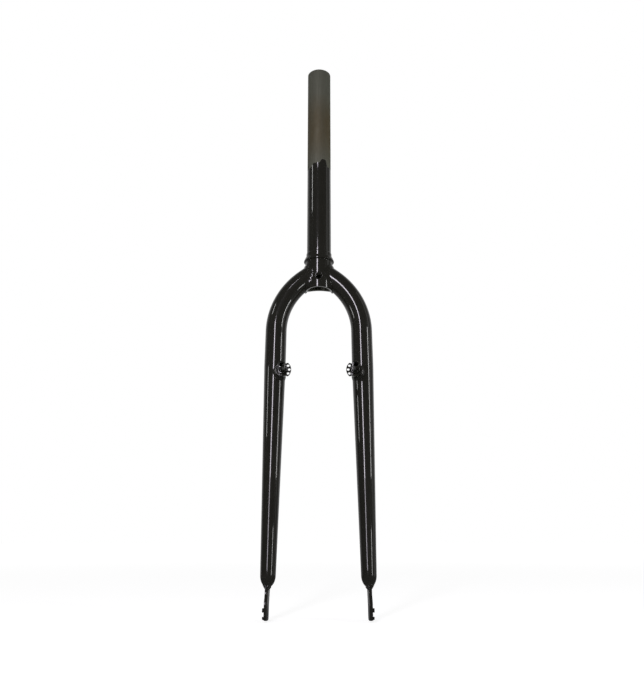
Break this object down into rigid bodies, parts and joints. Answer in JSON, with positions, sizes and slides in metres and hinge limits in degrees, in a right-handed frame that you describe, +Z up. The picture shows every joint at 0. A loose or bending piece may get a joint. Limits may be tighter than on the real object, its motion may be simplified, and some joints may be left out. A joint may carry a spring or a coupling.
{
  "type": "bicycle fork",
  "caption": "Rigid steel bicycle fork with bent tubular blades, a long threadless steerer, cantilever brake bosses and slotted dropouts.",
  "frame": {"origin": "on the steering axis, in the plane of the crown race shoulder", "axes": "+Z up along the steering axis, front of the fork towards -Y, +X to the right seen from the front"},
  "size_m": [0.1226, 0.0688, 0.6527],
  "materials": {
    "black_paint": "gloss",
    "weld_bead": "gloss",
    "steerer_finish": "gloss black below, bare steel above"
  },
  "bodies": {
    "root": {"steerer_tube": "steerer_finish", "blade_left": "black_paint", "blade_right": "black_paint", "dropout_left": "black_paint", "dropout_right": "black_paint", "brake_boss_left": "black_paint", "brake_boss_right": "black_paint", "spring_plate_left": "black_paint", "spring_plate_right": "black_paint", "weld_crown_left": "weld_bead", "weld_crown_right": "weld_bead", "weld_boss_left": "weld_bead", "weld_boss_right": "weld_bead", "weld_dropout_left": "weld_bead", "weld_dropout_right": "weld_bead"}
  },
  "joints": []
}
